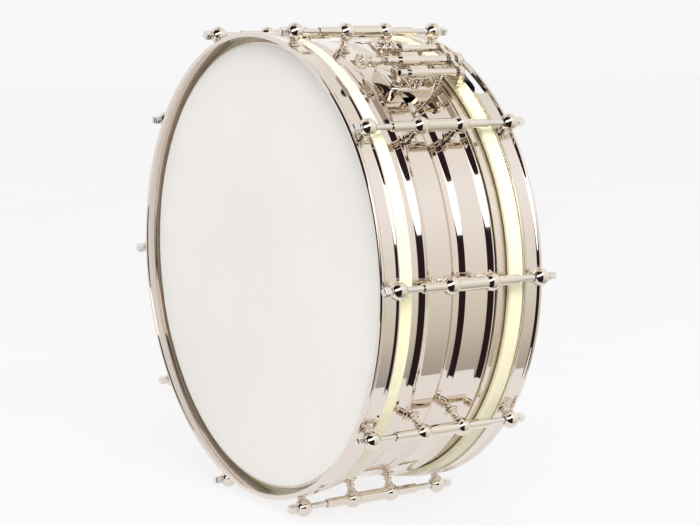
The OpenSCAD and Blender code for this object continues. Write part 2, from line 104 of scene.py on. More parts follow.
# Elevations in degrees on the side wall, each with its colour.
SIDE_BANDS = [
    (-46, (0.42, 0.40, 0.37)),
    (-37, (0.54, 0.50, 0.44)),
    (-28, (0.68, 0.64, 0.57)),
    (-18, (0.77, 0.75, 0.66)),
    (-6, (0.88, 0.84, 0.78)),
    (4, (0.92, 0.90, 0.86)),
    (14, (1.01, 0.99, 0.98)),
    (28, (1.07, 1.06, 1.07)),
    (44, (1.02, 1.0, 0.99)),
    (56, (0.92, 0.90, 0.86)),
]
KEY_AT = (2.1, -0.75, 1.75)
KEY_W, KEY_H, KEY_WATTS = 1.8, 1.4, 56
DRUM_MIDDLE = (0, 0, 0.19)
CAMERA_AT = (1.1744, -0.7435, 0.3489)
CAMERA_FORWARD = (-0.8324, 0.5422, -0.1143)
CAMERA_UP = (-0.0879, 0.0744, 0.9933)
LENS_MM, SENSOR_MM = 88.1, 36

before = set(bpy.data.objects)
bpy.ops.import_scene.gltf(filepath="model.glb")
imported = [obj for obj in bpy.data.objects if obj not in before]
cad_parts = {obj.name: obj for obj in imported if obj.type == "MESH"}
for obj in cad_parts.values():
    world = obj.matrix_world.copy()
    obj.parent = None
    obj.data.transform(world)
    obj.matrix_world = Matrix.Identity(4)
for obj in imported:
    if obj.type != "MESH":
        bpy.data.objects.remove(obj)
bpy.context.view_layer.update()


# ---------- outlines ----------

GUARD = 0.12
FINE_GUARD = 0.05


def rounded(points, radii, steps=6, closed=True, guard=GUARD):
    """An outline with its corners turned into arcs.

    Each arc ends in a guard point, which keeps the shading of the straight parts straight.
    """
    points = [np.array(p, float) for p in points]
    if not hasattr(radii, "__len__"):
        radii = [radii] * len(points)
    out = []
    count = len(points)
    for i, corner in enumerate(points):
        if not closed and i in (0, count - 1):
            out.append(corner)
            continue
        back, ahead = points[i - 1] - corner, points[(i + 1) % count] - corner
        out += arc(corner, back, ahead, radii[i], steps, guard)
    return np.array(out)


def profile(corners, steps=4, closed=False, guard=GUARD):
    """An outline from pairs of a point and the radius of its corner."""
    points, radii = zip(*corners)
    return rounded(points, radii, steps, closed, guard)


def arc(corner, back, ahead, radius, steps, guard):
    """The points that replace one corner of an outline."""
    len_a, len_b = np.linalg.norm(back), np.linalg.norm(ahead)
    a, b = back / len_a, ahead / len_b
    half = math.acos(max(-1, min(1, float(a @ b)))) / 2
    if radius <= 0 or half > math.radians(89.5):
        return [corner]
    reach = min(radius / math.tan(half), 0.46 * min(len_a, len_b))
    radius = reach * math.tan(half)
    middle = (a + b) / np.linalg.norm(a + b)
    centre = corner + middle * radius / math.sin(half)
    start, end = corner + a * reach - centre, corner + b * reach - centre
    turn = math.pi - 2 * half
    out = [corner + a * min(reach + guard, 0.49 * len_a)]
    for k in range(steps + 1):
        t = k / steps
        mix = math.sin((1 - t) * turn) * start + math.sin(t * turn) * end
        out.append(centre + mix / math.sin(turn))
    out.append(corner + b * min(reach + guard, 0.49 * len_b))
    return out


# ---------- meshes ----------

# Angles between faces, in degrees.
SHARP_A = 38
EASED_ABOVE_A = 35
SAME_FACE_A = 0.5


def grid(rows, cols, wrap_rows=False):
    """Quads over points stored row by row, where each row closes on itself."""
    r = np.arange(rows if wrap_rows else rows - 1)
    r, c = (m.ravel() for m in np.meshgrid(r, np.arange(cols), indexing="ij"))
    r2, c2 = (r + 1) % rows, (c + 1) % cols
    return np.stack([r * cols + c, r * cols + c2, r2 * cols + c2, r2 * cols + c], axis=1)


def spun(outline, segments=48, closed=True):
    """A turned solid about the third axis from (radius, height) points.

    An open outline starts and ends on the axis.
    """
    outline = np.asarray(outline, float)
    t = np.linspace(0, 2 * math.pi, segments, endpoint=False)
    rows = outline if closed else outline[1:-1]
    points = np.stack(
        [
            np.outer(rows[:, 0], np.cos(t)),
            np.outer(rows[:, 0], np.sin(t)),
            np.repeat(rows[:, 1:], segments, 1),
        ],
        axis=2,
    ).reshape(-1, 3)
    faces = grid(len(rows), segments, closed).tolist()
    if not closed:
        first, last = len(points), len(points) + 1
        points = np.vstack([points, [0, 0, outline[0, 1]], [0, 0, outline[-1, 1]]])
        low = (len(rows) - 1) * segments
        faces += [[first, (k + 1) % segments, k] for k in range(segments)]
        faces += [[last, low + k, low + (k + 1) % segments] for k in range(segments)]
    return points, faces


def along_y(solid, x=0, z=0):
    """A turned solid with its axis along Y."""
    points, faces = solid
    return np.stack([points[:, 0] + x, points[:, 2], points[:, 1] + z], axis=1), faces


def outward(solid, y=0, z=0):
    """A turned solid with its axis along the radius."""
    points, faces = solid
    return np.stack([points[:, 2], points[:, 0] + y, points[:, 1] + z], axis=1), faces


def moved(solid, matrix):
    """A solid carried by a 4 by 4 matrix."""
    points, faces = solid
    m = np.array(matrix)
    return points @ m[:3, :3].T + m[:3, 3], faces


def flipped(solid):
    """The solid mirrored to the other side of the drum."""
    points, faces = solid
    return points * [1, -1, 1], faces


def joined(*solids):
    """Several solids as one."""
    points, faces, count = [], [], 0
    for p, f in solids:
        points.append(p)
        faces += [[i + count for i in face] for face in f]
        count += len(p)
    return np.vstack(points), faces


def at_angle(solid, degrees):
    """From the local frame, where X points outward, to the row frame, still in millimetres."""
    points, faces = solid
    c, s = math.cos(math.radians(degrees)), math.sin(math.radians(degrees))
    x = points[:, 0] * c - points[:, 2] * s
    z = points[:, 0] * s + points[:, 2] * c + AXIS_Z
    return np.stack([x, points[:, 1], z], axis=1), faces


def around(solid):
    """The solid at every lug."""
    return joined(*(at_angle(solid, 360 / LUGS * i) for i in range(LUGS)))


def build(name, solid, material, body, nodes=(), sharp=SHARP_A):
    """A mesh object from a solid in the row frame. It rides on a body when one is given."""
    points, faces = solid
    mesh = bpy.data.meshes.new(name)
    mesh.from_pydata((points * MM).tolist(), [], faces)
    finish_mesh(mesh, sharp)
    mesh.materials.append(material)
    obj = bpy.data.objects.new(name, mesh)
    bpy.context.scene.collection.objects.link(obj)
    if body:
        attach(obj, body)
    if nodes:
        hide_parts(*nodes)
    return obj


def finish_mesh(mesh, sharp):
    """Faces point outward, and shading is smooth up to the sharp angle."""
    work = bmesh.new()
    work.from_mesh(mesh)
    bmesh.ops.recalc_face_normals(work, faces=work.faces)
    work.to_mesh(mesh)
    work.free()
    mesh.shade_smooth()
    mesh.set_sharp_from_angle(angle=math.radians(sharp))


def refined(node, material, body, bevel=0.25, lowest_r=0, segments=2):
    """A CAD node's own shape with its edges eased, so that they catch light.

    Edges nearer to the axis than lowest_r stay as they are.
    """
    work = bmesh.new()
    work.from_mesh(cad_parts[node].data)
    bmesh.ops.remove_doubles(work, verts=work.verts, dist=1e-6)
    bmesh.ops.dissolve_limit(
        work, angle_limit=math.radians(SAME_FACE_A), verts=work.verts, edges=work.edges
    )
    edges = [
        e
        for e in work.edges
        if len(e.link_faces) == 2
        and e.calc_face_angle(0) > math.radians(EASED_ABOVE_A)
        and min(math.hypot(v.co.x, v.co.z - AXIS_Z * MM) for v in e.verts) >= lowest_r * MM
    ]
    bmesh.ops.bevel(
        work,
        geom=edges,
        offset=bevel * MM,
        segments=segments,
        profile=0.6,
        affect="EDGES",
        clamp_overlap=True,
    )
    mesh = bpy.data.meshes.new(node + "_eased")
    work.to_mesh(mesh)
    work.free()
    finish_mesh(mesh, 30)
    mesh.materials.append(material)
    obj = bpy.data.objects.new(mesh.name, mesh)
    bpy.context.scene.collection.objects.link(obj)
    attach(obj, body)
    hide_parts(node)
    return obj


def cut(obj, solid, name):
    """Takes a solid, in the row frame, out of an object."""
    points, faces = solid
    mesh = bpy.data.meshes.new(name)
    mesh.from_pydata((points * MM).tolist(), [], faces)
    finish_mesh(mesh, 30)
    cutter = bpy.data.objects.new(name, mesh)
    bpy.context.scene.collection.objects.link(cutter)
    modifier = obj.modifiers.new("cut", "BOOLEAN")
    modifier.operation, modifier.solver, modifier.object = "DIFFERENCE", "EXACT", cutter
    bpy.context.view_layer.update()
    evaluated = obj.evaluated_get(bpy.context.evaluated_depsgraph_get())
    result = bpy.data.meshes.new_from_object(evaluated)
    obj.modifiers.clear()
    old = obj.data
    obj.data = result
    result.name = old.name
    bpy.data.meshes.remove(old)
    bpy.data.objects.remove(cutter)
    bpy.data.meshes.remove(mesh)
    result.set_sharp_from_angle(angle=math.radians(SHARP_A))


# ---------- materials ----------


def new_material(name):
    material = bpy.data.materials.new(name)
    material.use_nodes = True
    tree = material.node_tree
    shader = tree.nodes["Principled BSDF"]
    return material, tree, shader


def noise(tree, scale, detail=4, stretch=None):
    """A noise texture in object coordinates."""
    where = tree.nodes.new("ShaderNodeTexCoord")
    node = tree.nodes.new("ShaderNodeTexNoise")
    node.inputs["Scale"].default_value = scale
    node.inputs["Detail"].default_value = detail
    source = where.outputs["Object"]
    if stretch:
        mapping = tree.nodes.new("ShaderNodeMapping")
        mapping.inputs["Scale"].default_value = stretch
        tree.links.new(source, mapping.inputs["Vector"])
        source = mapping.outputs["Vector"]
    tree.links.new(source, node.inputs["Vector"])
    return node.outputs["Fac"]


def ranged(tree, value, low, high, start=0.3, end=0.7):
    """A value between 0 and 1 spread over low to high."""
    node = tree.nodes.new("ShaderNodeMapRange")
    node.inputs["From Min"].default_value = start
    node.inputs["From Max"].default_value = end
    node.inputs["To Min"].default_value = low
    node.inputs["To Max"].default_value = high
    tree.links.new(value, node.inputs["Value"])
    return node.outputs["Result"]


def mixed(tree, value, first, second):
    """A colour between two, by a value from 0 to 1."""
    node = tree.nodes.new("ShaderNodeMix")
    node.data_type = "RGBA"
    tree.links.new(value, node.inputs["Factor"])
    node.inputs["A"].default_value = (*first, 1)
    node.inputs["B"].default_value = (*second, 1)
    return node.outputs["Result"]


def bumped(tree, shader, height, strength, distance):
    node = tree.nodes.new("ShaderNodeBump")
    node.inputs["Strength"].default_value = strength
    node.inputs["Distance"].default_value = distance
    tree.links.new(height, node.inputs["Height"])
    tree.links.new(node.outputs["Normal"], shader.inputs["Normal"])


def metal(name, light, dark, smooth, rough, scratch=0.0):
    """Plated metal: its tint and polish vary softly. Scratch is the strength of very fine scratches."""
    material, tree, shader = new_material(name)
    shader.inputs["Metallic"].default_value = 1
    cloud = ranged(tree, noise(tree, 9, 3), 0, 1)
    tree.links.new(mixed(tree, cloud, light, dark), shader.inputs["Base Color"])
    haze = ranged(tree, noise(tree, 34, 5), smooth, rough)
    tree.links.new(haze, shader.inputs["Roughness"])
    if scratch:
        bumped(tree, shader, noise(tree, 700, 2, (1, 1, 6)), scratch, 0.00002)
    return material


def coated_film():
    """White sprayed coating: a fine grain in a faintly warm, softly uneven tone."""
    material, tree, shader = new_material("coated_film")
    grain = noise(tree, 1500, 3)
    cloud = ranged(tree, noise(tree, 6, 4), 0, 1)
    tree.links.new(
        mixed(tree, cloud, (0.87, 0.855, 0.82), (0.92, 0.91, 0.875)), shader.inputs["Base Color"]
    )
    tree.links.new(ranged(tree, grain, 0.5, 0.72), shader.inputs["Roughness"])
    shader.inputs["Specular IOR Level"].default_value = 0.35
    bumped(tree, shader, grain, 0.35, 0.0002)
    return material


def clear_film():
    """Thin hazy film that lets the inside show through."""
    material, tree, shader = new_material("clear_film")
    cloud = ranged(tree, noise(tree, 12, 4), 0, 1)
    tree.links.new(mixed(tree, cloud, (0.90, 0.91, 0.90), (0.93, 0.94, 0.93)), shader.inputs["Base Color"])
    tree.links.new(ranged(tree, noise(tree, 40, 4), 0.20, 0.26), shader.inputs["Roughness"])
    shader.inputs["Transmission Weight"].default_value = 0.4
    shader.inputs["IOR"].default_value = 1.2
    return material


def cream_lacquer():
    """Smooth glossy cream lacquer, slightly uneven in tone."""
    material, tree, shader = new_material("cream_lacquer")
    cloud = ranged(tree, noise(tree, 14, 4), 0, 1)
    tree.links.new(mixed(tree, cloud, (0.94, 0.89, 0.60), (0.96, 0.92, 0.68)), shader.inputs["Base Color"])
    tree.links.new(ranged(tree, noise(tree, 60, 4), 0.22, 0.34), shader.inputs["Roughness"])
    shader.inputs["Coat Weight"].default_value = 0.25
    shader.inputs["Coat Roughness"].default_value = 0.15
    return material


def strap_tape():
    """Black woven tape: fine ribs across its length and width."""
    material, tree, shader = new_material("strap_tape")
    where = tree.nodes.new("ShaderNodeTexCoord")
    heights = []
    for direction in ("X", "Y", "Z"):
        wave = tree.nodes.new("ShaderNodeTexWave")
        wave.bands_direction = direction
        wave.inputs["Scale"].default_value = 420
        wave.inputs["Distortion"].default_value = 0.6
        tree.links.new(where.outputs["Object"], wave.inputs["Vector"])
        heights.append(wave.outputs["Fac"])
    total = heights[0]
    for height in heights[1:]:
        add = tree.nodes.new("ShaderNodeMath")
        tree.links.new(total, add.inputs[0])
        tree.links.new(height, add.inputs[1])
        total = add.outputs[0]
    tree.links.new(
        mixed(tree, ranged(tree, total, 0, 1, 0.8, 2.2), (0.012, 0.012, 0.013), (0.05, 0.05, 0.052)),
        shader.inputs["Base Color"],
    )
    shader.inputs["Roughness"].default_value = 0.75
    bumped(tree, shader, total, 0.5, 0.0002)
    return material


def floor_paper():
    """Pale paper with a barely visible unevenness.

    Most of its brightness is its own, so that shadows on it stay faint.
    """
    material, tree, shader = new_material("floor_paper")
    cloud = ranged(tree, noise(tree, 3, 4), 0, 1)
    tint = mixed(tree, cloud, (0.115, 0.113, 0.114), (0.125, 0.123, 0.124))
    tree.links.new(tint, shader.inputs["Base Color"])
    shader.inputs["Roughness"].default_value = 1
    shader.inputs["Specular IOR Level"].default_value = 0
    shader.inputs["Emission Color"].default_value = (1.0, 0.99, 0.995, 1)
    shader.inputs["Emission Strength"].default_value = FLOOR_GLOW
    return material


SHELL_NICKEL = metal("shell_nickel", (0.80, 0.725, 0.66), (0.76, 0.685, 0.615), 0.035, 0.06)
HOOP_NICKEL = metal("hoop_nickel", (0.81, 0.745, 0.685), (0.77, 0.70, 0.635), 0.035, 0.06)
BRIGHT_NICKEL = metal("bright_nickel", (0.81, 0.75, 0.67), (0.77, 0.71, 0.625), 0.03, 0.06)
ROD_STEEL = metal("rod_steel", (0.80, 0.77, 0.73), (0.74, 0.71, 0.67), 0.03, 0.07, 0.1)
PLAIN_STEEL = metal("plain_steel", (0.56, 0.55, 0.54), (0.44, 0.43, 0.42), 0.24, 0.42, 0.4)
SNARE_STEEL = metal("snare_steel", (0.62, 0.61, 0.59), (0.50, 0.49, 0.47), 0.1, 0.2, 0.1)
COATED_FILM = coated_film()
CLEAR_FILM = clear_film()
CREAM = cream_lacquer()
TAPE = strap_tape()


# ---------- shell, heads and hoops ----------


def drum_axis(solid):
    """A solid turned about the drum's axis, placed in the row frame."""
    points, faces = solid
    return np.stack([points[:, 0], points[:, 2], points[:, 1] + AXIS_Z], axis=1), faces


def shell_wall(inset):
    """Corners of the shell's wall and their radii, from the snare side's edge to the batter side's."""
    half = [
        (GROOVE_DEPTH, FLOOR_HALF, 3.5),
        (0, GROOVE_HALF, 0.9),
        (0, BEAD_Y - BEAD_HALF, 6),
        (-BEAD_APEX, BEAD_Y, 1.3),
        (0, BEAD_Y + BEAD_HALF, 6),
    ]
    upper = [((SHELL_R - d - inset, y), r) for d, y, r in reversed(half)]
    lower = [((x, -y), r) for (x, y), r in reversed(upper)]
    return upper + lower


def shell():
    """Beaded shell with a groove around its middle and an inward flange at each bearing edge."""
    snare_edge = [
        ((SHELL_R - SHELL_T, EDGE_Y - 2.6), 0.6),
        ((SHELL_R - 2.2, EDGE_Y - 1.3), 0.5),
        ((SHELL_R - 7.6, EDGE_Y - 5.9), 0.3),
        ((SHELL_R - 8.4, EDGE_Y - 5.1), 0.3),
        ((SHELL_R - 2.7, EDGE_Y - 0.0), 0.9),
        ((SHELL_R, EDGE_Y - 0.4), 1.4),
    ]
    batter_edge = [((x, -y), r) for (x, y), r in reversed(snare_edge)]
    corners = snare_edge + shell_wall(0) + batter_edge + list(reversed(shell_wall(SHELL_T)))
    outline = profile(corners, steps=8, closed=True)
    obj = build("shell_wall", drum_axis(spun(outline, 360)), SHELL_NICKEL, "drum", ["shell"], sharp=50)
    low, high = VENT_CUT_LOW, VENT_CUT_HIGH
    hole = spun([(0, low), (VENT_R, low), (VENT_R, high), (0, high)], 48, closed=False)
    cut(obj, at_angle(outward(hole, VENT_Y), VENT_A), "vent_cut")


def grommet():
    """Turned eyelet in the vent hole."""
    outline = rounded(
        [
            (3.9, 175), (7.4, 175), (7.4, 176.1), (5.4, 176.3), (5.4, 178),
            (8.2, 178.1), (8.2, 178.9), (6.4, 179.6), (3.9, 179.4),
        ],
        0.5,
        steps=4,
    )
    eyelet = at_angle(outward(spun(outline, 64), VENT_Y), VENT_A)
    build("vent_eyelet", eyelet, BRIGHT_NICKEL, "drum", ["vent_grommet"])


def head(side, material, node):
    """A head's film: flat across the bearing edge and turned down over the shell."""
    top = EDGE_Y + 0.05
    rim = SHELL_R + 0.15
    low = FLESH_Y + 0.05
    lower = [(0, top), (60, top), (120, top), (SHELL_R - 2.6, top), (rim, EDGE_Y - 2.2), (rim, low)]
    upper = [(rim + FILM_T, low), (rim + FILM_T, EDGE_Y - 1.8)]
    upper += [(r, top + FILM_T) for r in (SHELL_R - 2.4, 120, 60, 0)]
    radii = [0, 0, 0, 1.6, 1.2, 0.05, 0.05, 1.5, 1.9, 0, 0, 0]
    outline = rounded(lower + upper, radii, steps=5, closed=False)
    solid = drum_axis(spun(outline, 240, closed=False))
    build(node + "_film", solid if side > 0 else flipped(solid), material, "drum", [node])


def flesh_hoop(side, node):
    """Rounded cream hoop that stretches a head."""
    low = FLESH_Y - FLESH_W
    outline = rounded(
        [(FLESH_IN_R, low), (FLESH_R, low), (FLESH_R, FLESH_Y), (FLESH_IN_R, FLESH_Y)],
        [1.2, 2.6, 0.9, 0.3],
    )
    solid = drum_axis(spun(outline, 360))
    build(node + "_ring", solid if side > 0 else flipped(solid), CREAM, "drum", [node])


def hoop_solid():
    """Flat band with a flared foot and a rolled lip."""
    foot = FLESH_Y + 0.05
    corners = [
        ((HOOP_IN_R, foot), 0.3),
        ((HOOP_R + 1.3, foot), 0.5),
        ((HOOP_R + 1.2, foot + 1.3), 0.7),
        ((HOOP_R, foot + 2.9), 1.6),
        ((HOOP_R, LIP_Y - 4.4), 1.2),
        ((HOOP_R + 1.7, LIP_Y - 3.2), 1.2),
        ((HOOP_R + 1.7, LIP_Y - 0.9), 1.2),
        ((HOOP_R + 0.2, LIP_Y), 1.2),
        ((HOOP_IN_R + 0.5, LIP_Y), 0.6),
        ((HOOP_IN_R, LIP_Y - 1), 0.8),
    ]
    outline = profile(corners, steps=6, closed=True)
    return drum_axis(spun(outline, 360))


def gate_solid():
    """Rounded window through the snare side's hoop."""
    low, high, half = GATE_LOW_Y, GATE_HIGH_Y, GATE_HALF
    outline = rounded([(low, -half), (high, -half), (high, half), (low, half)], GATE_CORNER, guard=0)
    count = len(outline)
    rows = [np.column_stack([np.full(count, x), outline]) for x in (170.0, 192.0)]
    faces = grid(2, count).tolist() + [list(range(count)), list(range(2 * count - 1, count - 1, -1))]
    return np.vstack(rows), faces


def hoops():
    build("batter_hoop_band", flipped(hoop_solid()), HOOP_NICKEL, "drum", ["batter_hoop"])
    band = build("snare_hoop_band", hoop_solid(), HOOP_NICKEL, "drum", ["snare_hoop"])
    for number, degrees in enumerate((STRAINER_A, BUTT_A)):
        cut(band, at_angle(gate_solid(), degrees), f"gate_cut_{number}")


# ---------- ears, lugs and rods ----------


def ball_outline(low_bore, high_cap, bore):
    """A bored ball from its bore at the low end to a flat seat at the high end."""
    start = -math.sqrt(BALL_R**2 - low_bore**2)
    end = high_cap
    first, last = math.asin(start / BALL_R), math.asin(end / BALL_R)
    arc_points = [
        (BALL_R * math.cos(t), BALL_R * math.sin(t)) for t in np.linspace(first, last, 40)
    ]
    return [(bore, start + 0.15)] + arc_points + [(bore, end)]


def ear():
    """Ball on a turned column, for one tension rod."""
    ball = along_y(spun(ball_outline(BORE_R + 0.2, SEAT_Y - EAR_Y, BORE_R), 64), ROD_CIRCLE)
    ball = (ball[0] + [0, EAR_Y, 0], ball[1])
    r = HOOP_R
    corners = [
        ((0, r - 2.2), 0), ((2, r - 2.2), 0), ((2, r + 0.02), 0), ((4.9, r + 0.02), 0.2),
        ((5.2, r + 1.2), 0.6), ((2.8, r + 2.0), 0.5), ((3.9, r + 3.0), 0.6), ((2.8, r + 3.9), 0.6),
        ((2.9, ROD_CIRCLE - 5), 0.2), ((0, ROD_CIRCLE - 5), 0),
    ]
    outline = profile(corners, guard=FINE_GUARD)
    return joined(ball, outward(spun(outline, 40, closed=False), EAR_Y))


def lug_posts():
    """Baluster post with its ball, two to a lug."""
    angles = np.linspace(-math.pi / 2, math.pi / 2, 41)
    ball = [(BALL_R * math.cos(t), BALL_R * math.sin(t)) for t in angles]
    low = FOOT_TOP + 0.03
    corners = [
        ((0, low), 0), ((4.5, low), 0.2), ((4.6, low + 1.0), 0.5), ((2.6, low + 1.9), 0.6),
        ((3.7, low + 3.6), 0.9), ((2.5, low + 5.2), 0.7), ((3.0, low + 6.6), 0.6), ((3.9, low + 7.8), 0.5),
        ((2.6, ROD_CIRCLE - 5.6), 0.5), ((2.6, ROD_CIRCLE - 4), 0), ((0, ROD_CIRCLE - 4), 0),
    ]
    outline = profile(corners, guard=FINE_GUARD)
    post = outward(spun(outline, 40, closed=False))
    round_ball = along_y(spun(ball, 64, closed=False), ROD_CIRCLE)
    one = joined(post, round_ball)
    pair = joined(*((one[0] + [0, s * POST_Y, 0], one[1]) for s in (-1, 1)))
    build("lug_post_balls", around(pair), BRIGHT_NICKEL, "drum", ["lug_posts"])


def lug_tubes():
    """Tube with a wider sleeve between the balls and an open end for each rod."""
    bore = ROD_R + 0.3
    corners = [
        ((0, -BORE_END), 0), ((bore, -BORE_END), 0), ((bore, -TUBE_END), 0.3), ((TUBE_R, -TUBE_END), 0.4),
        ((TUBE_R, -POST_Y), 0), ((SLEEVE_R, -SLEEVE_END), 0.1), ((SLEEVE_R, SLEEVE_END), 0.1),
        ((TUBE_R, POST_Y), 0), ((TUBE_R, TUBE_END), 0.4), ((bore, TUBE_END), 0.3),
        ((bore, BORE_END), 0), ((0, BORE_END), 0),
    ]
    outline = profile(corners)
    tube = along_y(spun(outline, 56, closed=False), ROD_CIRCLE)
    build("lug_tube_bodies", around(tube), BRIGHT_NICKEL, "drum", ["lug_tubes"])


def lug_feet():
    """Washer under each post."""
    low = SHELL_R + 0.02
    outline = rounded([(2.5, low), (6, low), (6, low + 1.2), (2.5, low + 1.2)], [0.1, 0.2, 0.5, 0.1], steps=4)
    foot = spun(outline, 48)
    pair = joined(outward(foot, -POST_Y), outward(foot, POST_Y))
    build("lug_foot_washers", around(pair), BRIGHT_NICKEL, "drum", ["lug_feet"])


def ears():
    build("batter_ear_balls", flipped(around(ear())), BRIGHT_NICKEL, "drum", ["batter_hoop_ears"])
    build("snare_ear_balls", around(ear()), BRIGHT_NICKEL, "drum", ["snare_hoop_ears"])


def square_head(y0, y1, half):
    """Square key head with eased corners and a slightly domed end."""
    def ring(h, y, r):
        flat = rounded([(-h, -h), (h, -h), (h, h), (-h, h)], r, steps=4, guard=0)
        return np.column_stack([flat[:, 0], np.full(len(flat), y), flat[:, 1]])

    rows = [ring(half - 0.3, y0, 0.4), ring(half, y0 + 0.3, 0.5), ring(half, y1 - 0.9, 0.5)]
    rows += [ring(half - 0.18, y1 - 0.35, 0.5), ring(half - 0.7, y1, 0.5)]
    count = len(rows[0])
    faces = grid(len(rows), count).tolist()
    faces += [list(range(count)), list(range(len(rows) * count - 1, (len(rows) - 1) * count - 1, -1))]
    return np.vstack(rows) + [ROD_CIRCLE, 0, 0], faces


def tension_rod():
    """Rod with a collar under its square head."""
    head_y = SEAT_Y + 1.1
    corners = [
        ((0, ROD_TIP_Y), 0), ((ROD_R - 0.5, ROD_TIP_Y), 0), ((ROD_R, ROD_TIP_Y + 0.6), 0.2),
        ((ROD_R, SEAT_Y + 0.1), 0), ((ROD_COLLAR_R, SEAT_Y + 0.1), 0.2), ((ROD_COLLAR_R, head_y), 0.4),
        ((0, head_y), 0),
    ]
    outline = profile(corners)
    shaft = along_y(spun(outline, 40, closed=False), ROD_CIRCLE)
    return joined(shaft, square_head(head_y - 0.05, ROD_END_Y, ROD_HEAD_W / 2))


def rods():
    """Ten rods to a side. Their heads stand at different turns, as hand-tuned ones do."""
    rng = np.random.default_rng(11)
    rod = tension_rod()
    for side, prefix in ((-1, "batter"), (1, "snare")):
        for i in range(LUGS):
            turn = math.radians(float(rng.uniform(-ROD_TURN_MAX, ROD_TURN_MAX)))
            centre = Matrix.Translation((ROD_CIRCLE, 0, 0))
            turned = moved(rod, centre @ Matrix.Rotation(turn, 4, "Y") @ centre.inverted())
            placed = at_angle(turned if side > 0 else flipped(turned), 360 / LUGS * i)
            node = f"{prefix}_rod_{i + 1:02d}"
            build(node + "_turned", placed, ROD_STEEL, node, [node])


# ---------- snares ----------


def coil(x0, x1, centre_r=0.54, wire_r=0.26, pitch=1.15, steps=7, sides=4):
    """One strand of coiled wire along the local X."""
    count = int((x1 - x0) / pitch * steps)
    t = np.linspace(0, (x1 - x0) / pitch * 2 * math.pi, count)
    u = np.linspace(0, 2 * math.pi, sides, endpoint=False)
    x = np.linspace(x0, x1, count)[:, None] + wire_r * np.sin(u)[None, :]
    r = centre_r + wire_r * np.cos(u)[None, :]
    points = np.stack([x, r * np.cos(t)[:, None], r * np.sin(t)[:, None]], axis=2).reshape(-1, 3)
    faces = grid(count, sides).tolist()
    faces += [list(range(sides)), list(range(count * sides - 1, (count - 1) * sides - 1, -1))]
    return points, faces


def snare_wires():
    strand = coil(-STRAND_HALF, STRAND_HALF)
    offsets = [(i - (STRAND_N - 1) / 2) * STRAND_PITCH for i in range(STRAND_N)]
    strands = joined(*((strand[0] + [0, WIRE_Y, z], strand[1]) for z in offsets))
    build("snare_coils", at_angle(strands, STRAINER_A), SNARE_STEEL, "carriage", ["snare_wires"], sharp=80)


def strap(clamp_r, clamp_y, free_y, degrees, node):
    """Tape from a clamp through the hoop's gate to the plate at the end of the snare."""
    plate = WIRE_Y + 0.8 + 1.05
    route = [
        (clamp_r, clamp_y), (clamp_r, free_y), (FLESH_R + 2, 57.3), (FLESH_R - 0.2, 61.1),
        (FLESH_R - 4.5, 65.6), (FLESH_R - 7.5, plate), (STRAND_HALF - 10, plate),
    ]
    lifted = [
        (clamp_r + STRAP_T, clamp_y), (clamp_r + STRAP_T, free_y + 0.1), (FLESH_R + 2.3, 57.6),
        (FLESH_R + 0.1, 61.4), (FLESH_R - 4.2, 65.6 + STRAP_T), (FLESH_R - 7.4, plate + STRAP_T),
        (STRAND_HALF - 10, plate + STRAP_T),
    ]
    low, high = (
        resampled(rounded(line, STRAP_BEND_R, steps=5, closed=False, guard=0), STRAP_STEPS)
        for line in (route, lifted)
    )
    ring = np.vstack([low, high[::-1]])
    rows = [
        np.column_stack([ring, np.full(len(ring), z)])
        for z in np.linspace(-STRAP_HALF_W, STRAP_HALF_W, STRAP_ROWS)
    ]
    count = len(ring)
    ends = [[k, k + 1, count - 2 - k, count - 1 - k] for k in range(STRAP_STEPS - 1)]
    last = (STRAP_ROWS - 1) * count
    faces = grid(STRAP_ROWS, count).tolist() + ends + [[i + last for i in face] for face in ends]
    obj = build(node + "_tape", at_angle((np.vstack(rows), faces), degrees), TAPE, None, [node])
    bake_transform(obj)


def resampled(points, count):
    """Points spread evenly along a line."""
    steps = np.linalg.norm(np.diff(points, axis=0), axis=1)
    along = np.concatenate([[0], np.cumsum(steps)])
    wanted = np.linspace(0, along[-1], count)
    return np.column_stack([np.interp(wanted, along, points[:, k]) for k in range(2)])


# ---------- strainer and butt plate ----------


def strainer_tubes():
    """Three parallel tubes with rounded mouths."""
    solids = []
    middle, lower, upper = (3.58, -21, 2.3, 0), (2.78, -17, 1.9, -STR_PITCH), (2.78, 0.5, 1.9, STR_PITCH)
    for outer, y0, bore, z in (middle, lower, upper):
        outline = rounded([(bore, y0), (outer, y0), (outer, 34), (bore, 34)], [0.2, 0.6, 0.6, 0.2], steps=4)
        solids.append(along_y(spun(outline, 56), STR_R, z))
    tubes = at_angle(joined(*solids), STRAINER_A)
    build("strainer_tube_set", tubes, BRIGHT_NICKEL, "drum", ["strainer_tubes"])


